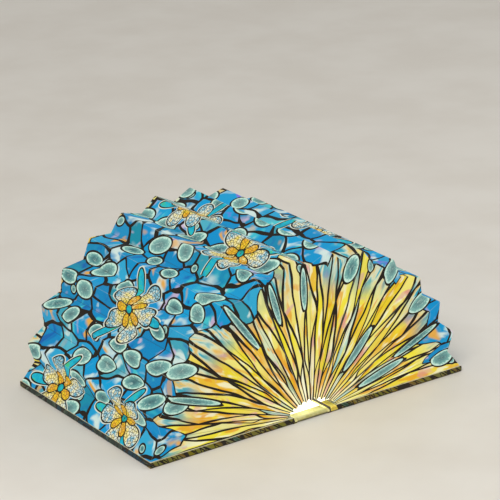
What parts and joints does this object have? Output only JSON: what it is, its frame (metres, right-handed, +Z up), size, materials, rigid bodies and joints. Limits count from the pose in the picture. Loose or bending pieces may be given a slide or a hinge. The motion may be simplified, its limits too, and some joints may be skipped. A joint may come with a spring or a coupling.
{
  "type": "folding book lamp",
  "caption": "Book-shaped lamp lying open flat, its covers joined by a pleated translucent shade that fans up over a lit core along the spine.",
  "frame": {"origin": "middle of the spine's underside, on the table, with the lamp open flat", "axes": "+X across both covers towards the right one, +Y along the spine towards the charging socket, +Z up from the table"},
  "size_m": [0.337, 0.215, 0.1502],
  "materials": {
    "printed_wrap": "satin laminated print of leaded-glass cells in gold and blue",
    "greyboard": "raw greyboard, hidden under the wrap",
    "lining": "matt cream lining paper",
    "shade": "translucent water-resistant sheet with a satin leaded-glass print, lit from inside",
    "diffuser": "opal diffusing plastic, lit",
    "channel": "satin anodised extrusion",
    "foam_tape": "matt white foam",
    "light_strip": "white solder mask",
    "light_chips": "phosphor-filled silicone in white cups, lit",
    "battery": "crinkled foil pouch",
    "leads": "silicone insulation",
    "circuit": "green solder mask",
    "socket_steel": "plated steel shell",
    "chip_black": "black moulded package",
    "magnet": "nickel plated"
  },
  "bodies": {
    "spine": {"spine_wrap": "printed_wrap", "spine_board": "greyboard", "spine_lining": "lining", "core_tape": "foam_tape", "core_channel": "channel", "diffuser": "diffuser", "end_cap_front": "diffuser", "end_cap_back": "diffuser", "light_strip_left": "light_strip", "light_strip_right": "light_strip", "light_chips_left": "light_chips", "light_chips_right": "light_chips", "battery": "battery", "battery_leads": "leads", "circuit_board": "circuit", "charge_socket": "socket_steel", "hall_switch": "chip_black"},
    "left_cover": {"cover_left_wrap": "printed_wrap", "cover_left_board": "greyboard", "cover_left_lining": "lining", "switch_magnet": "magnet", "foot_pleat_left": "shade"},
    "right_cover": {"cover_right_wrap": "printed_wrap", "cover_right_board": "greyboard", "cover_right_lining": "lining", "foot_pleat_right": "shade"},
    "leaf_1": {"pleat_1": "shade"},
    "leaf_2": {"pleat_2": "shade"},
    "leaf_3": {"pleat_3": "shade"},
    "leaf_4": {"pleat_4": "shade"},
    "leaf_5": {"pleat_5": "shade"},
    "leaf_6": {"pleat_6": "shade"},
    "leaf_7": {"pleat_7": "shade"},
    "leaf_8": {"pleat_8": "shade"},
    "leaf_9": {"pleat_9": "shade"},
    "leaf_10": {"pleat_10": "shade"},
    "leaf_11": {"pleat_11": "shade"},
    "leaf_12": {"pleat_12": "shade"}
  },
  "joints": [
    {"name": "left_cover_hinge", "type": "hinge", "parent": "spine", "child": "left_cover", "pos_m": [-0.0165, 0, 0.0003], "axis": [0, 1, 0], "range_deg": [0, 90], "deforming": ["foot_pleat_left"]},
    {"name": "right_cover_hinge", "type": "hinge", "parent": "spine", "child": "right_cover", "pos_m": [0.0165, 0, 0.0003], "axis": [0, 1, 0], "range_deg": [-90, 0], "deforming": ["foot_pleat_right"]},
    {"name": "leaf_1_hinge", "type": "hinge", "parent": "spine", "child": "leaf_1", "pos_m": [-0.01396, 0, 0.0003], "axis": [0, 1, 0], "range_deg": [0, 76.15], "deforming": ["pleat_1"]},
    {"name": "leaf_2_hinge", "type": "hinge", "parent": "spine", "child": "leaf_2", "pos_m": [-0.01142, 0, 0.0003], "axis": [0, 1, 0], "range_deg": [0, 62.31], "deforming": ["pleat_2"]},
    {"name": "leaf_3_hinge", "type": "hinge", "parent": "spine", "child": "leaf_3", "pos_m": [-0.00888, 0, 0.0003], "axis": [0, 1, 0], "range_deg": [0, 48.46], "deforming": ["pleat_3"]},
    {"name": "leaf_4_hinge", "type": "hinge", "parent": "spine", "child": "leaf_4", "pos_m": [-0.00635, 0, 0.0003], "axis": [0, 1, 0], "range_deg": [0, 34.62], "deforming": ["pleat_4"]},
    {"name": "leaf_5_hinge", "type": "hinge", "parent": "spine", "child": "leaf_5", "pos_m": [-0.00381, 0, 0.0003], "axis": [0, 1, 0], "range_deg": [0, 20.77], "deforming": ["pleat_5"]},
    {"name": "leaf_6_hinge", "type": "hinge", "parent": "spine", "child": "leaf_6", "pos_m": [-0.00127, 0, 0.0003], "axis": [0, 1, 0], "range_deg": [0, 6.92], "deforming": ["pleat_6"]},
    {"name": "leaf_7_hinge", "type": "hinge", "parent": "spine", "child": "leaf_7", "pos_m": [0.00127, 0, 0.0003], "axis": [0, 1, 0], "range_deg": [-6.92, 0], "deforming": ["pleat_7"]},
    {"name": "leaf_8_hinge", "type": "hinge", "parent": "spine", "child": "leaf_8", "pos_m": [0.00381, 0, 0.0003], "axis": [0, 1, 0], "range_deg": [-20.77, 0], "deforming": ["pleat_8"]},
    {"name": "leaf_9_hinge", "type": "hinge", "parent": "spine", "child": "leaf_9", "pos_m": [0.00635, 0, 0.0003], "axis": [0, 1, 0], "range_deg": [-34.62, 0], "deforming": ["pleat_9"]},
    {"name": "leaf_10_hinge", "type": "hinge", "parent": "spine", "child": "leaf_10", "pos_m": [0.00888, 0, 0.0003], "axis": [0, 1, 0], "range_deg": [-48.46, 0], "deforming": ["pleat_10"]},
    {"name": "leaf_11_hinge", "type": "hinge", "parent": "spine", "child": "leaf_11", "pos_m": [0.01142, 0, 0.0003], "axis": [0, 1, 0], "range_deg": [-62.31, 0], "deforming": ["pleat_11"]},
    {"name": "leaf_12_hinge", "type": "hinge", "parent": "spine", "child": "leaf_12", "pos_m": [0.01396, 0, 0.0003], "axis": [0, 1, 0], "range_deg": [-76.15, 0], "deforming": ["pleat_12"]}
  ],
  "couplings": [
    {"joint": "right_cover_hinge", "follows": "left_cover_hinge", "ratio": -1},
    {"joint": "leaf_1_hinge", "follows": "left_cover_hinge", "ratio": 0.84615},
    {"joint": "leaf_2_hinge", "follows": "left_cover_hinge", "ratio": 0.69231},
    {"joint": "leaf_3_hinge", "follows": "left_cover_hinge", "ratio": 0.53846},
    {"joint": "leaf_4_hinge", "follows": "left_cover_hinge", "ratio": 0.38462},
    {"joint": "leaf_5_hinge", "follows": "left_cover_hinge", "ratio": 0.23077},
    {"joint": "leaf_6_hinge", "follows": "left_cover_hinge", "ratio": 0.076923},
    {"joint": "leaf_7_hinge", "follows": "left_cover_hinge", "ratio": -0.076923},
    {"joint": "leaf_8_hinge", "follows": "left_cover_hinge", "ratio": -0.23077},
    {"joint": "leaf_9_hinge", "follows": "left_cover_hinge", "ratio": -0.38462},
    {"joint": "leaf_10_hinge", "follows": "left_cover_hinge", "ratio": -0.53846},
    {"joint": "leaf_11_hinge", "follows": "left_cover_hinge", "ratio": -0.69231},
    {"joint": "leaf_12_hinge", "follows": "left_cover_hinge", "ratio": -0.84615}
  ]
}
